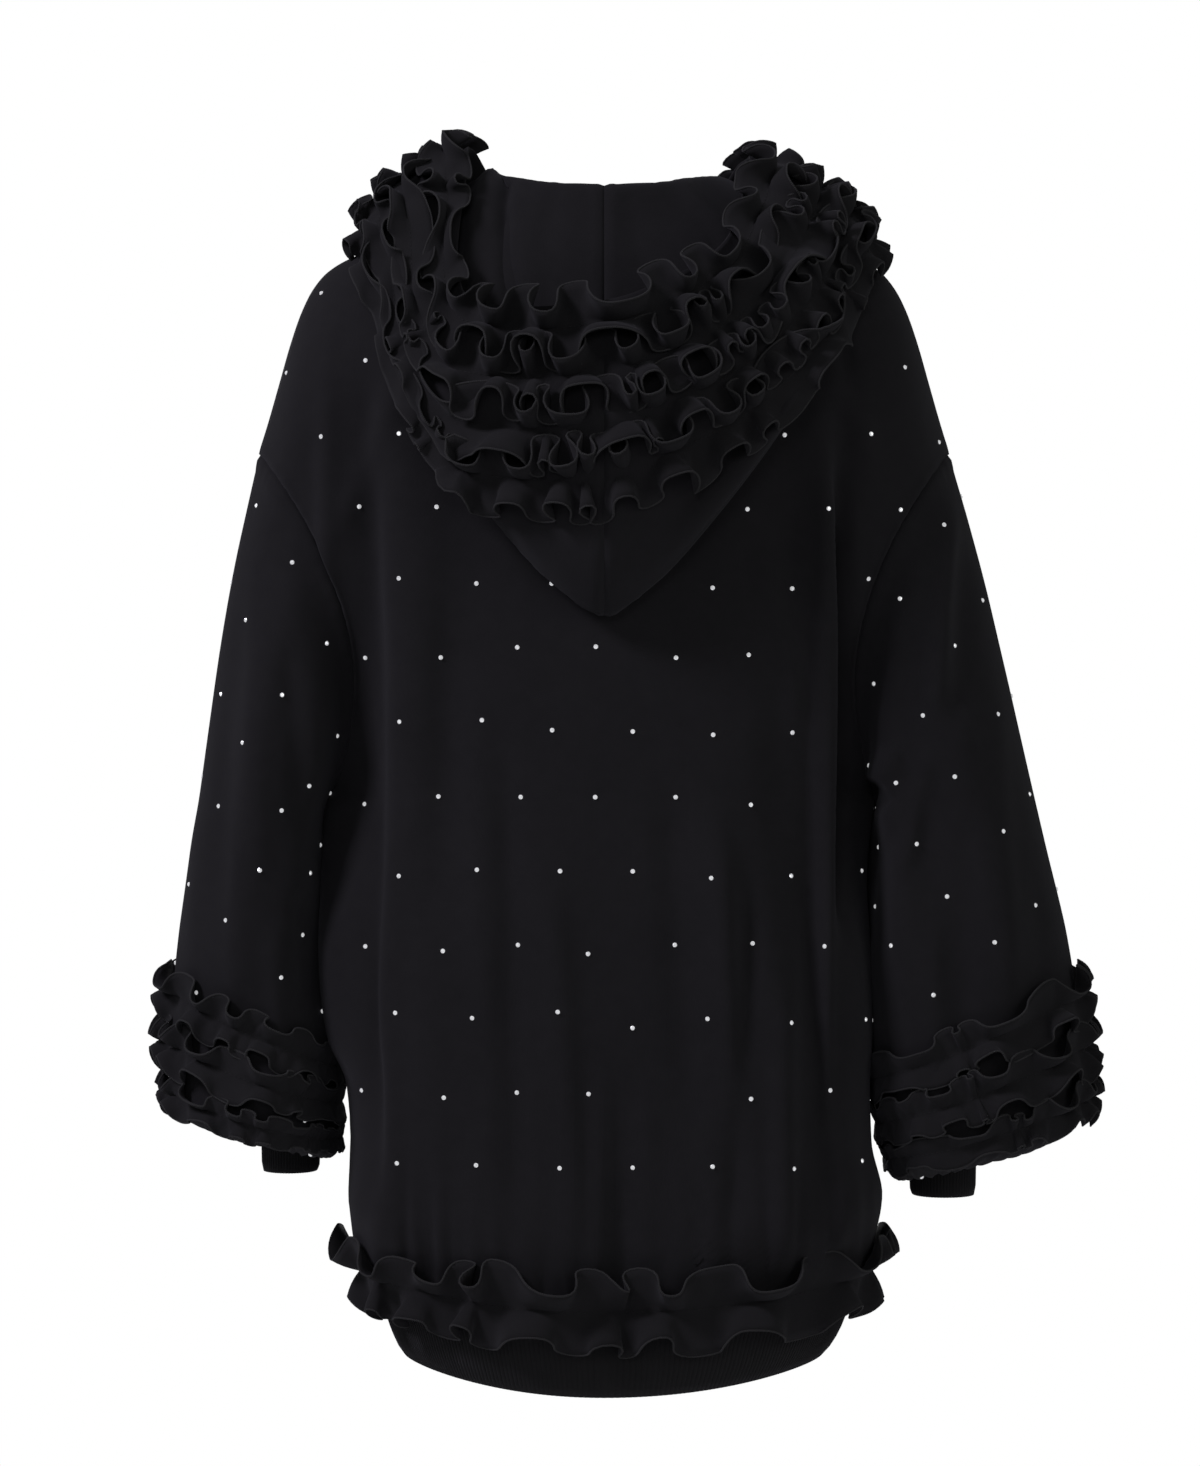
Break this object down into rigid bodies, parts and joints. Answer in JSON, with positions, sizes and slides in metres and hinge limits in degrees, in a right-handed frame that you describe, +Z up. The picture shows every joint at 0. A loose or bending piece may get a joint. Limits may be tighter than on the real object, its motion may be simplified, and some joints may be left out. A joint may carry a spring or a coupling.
{
  "type": "zip up hoodie",
  "caption": "Loose black sweat jersey zip hoodie, worn shape, hood down, wide sleeves, gathered ruffles on hood, cuffs and hem, small stones.",
  "frame": {"origin": "midway between the neck points of the shoulders, on the wearer's centre line, where the shoulders hold the garment up", "axes": "+Z up, +X to the wearer's left, -Y out of the zipped front, so the back of the garment faces +Y"},
  "size_m": [0.7084, 0.318, 0.9185],
  "materials": {
    "jersey": "matt black sweat jersey with a soft brushed nap",
    "rib_knit": "matt black rib knit",
    "frill_jersey": "matt black jersey with a rolled overlocked edge",
    "zip_tape": "black woven tape with black moulded teeth",
    "zip_metal": "dark nickel plate",
    "stone": "clear faceted stone on a silver foil back"
  },
  "bodies": {
    "garment": {"back_panel": "jersey", "front_panel_left": "jersey", "front_panel_right": "jersey", "sleeve_left": "jersey", "sleeve_right": "jersey", "hood_left": "jersey", "hood_right": "jersey", "hem_band": "rib_knit", "cuff_left": "rib_knit", "cuff_right": "rib_knit", "cuff_frill_left_1": "frill_jersey", "cuff_frill_left_2": "frill_jersey", "cuff_frill_left_3": "frill_jersey", "cuff_frill_right_1": "frill_jersey", "cuff_frill_right_2": "frill_jersey", "cuff_frill_right_3": "frill_jersey", "hem_frill": "frill_jersey", "hood_frill_1": "frill_jersey", "hood_frill_2": "frill_jersey", "hood_frill_3": "frill_jersey", "hood_frill_4": "frill_jersey", "zip_tape_left": "zip_tape", "zip_tape_right": "zip_tape", "zip_slider": "zip_metal"},
    "pull_tab": {"zip_pull": "zip_metal"}
  },
  "joints": [
    {"name": "pull_tab_hinge", "type": "hinge", "parent": "garment", "child": "pull_tab", "pos_m": [0, -0.09043, -0.09892], "axis": [-1, 0, 0], "range_deg": [0, 120]}
  ]
}
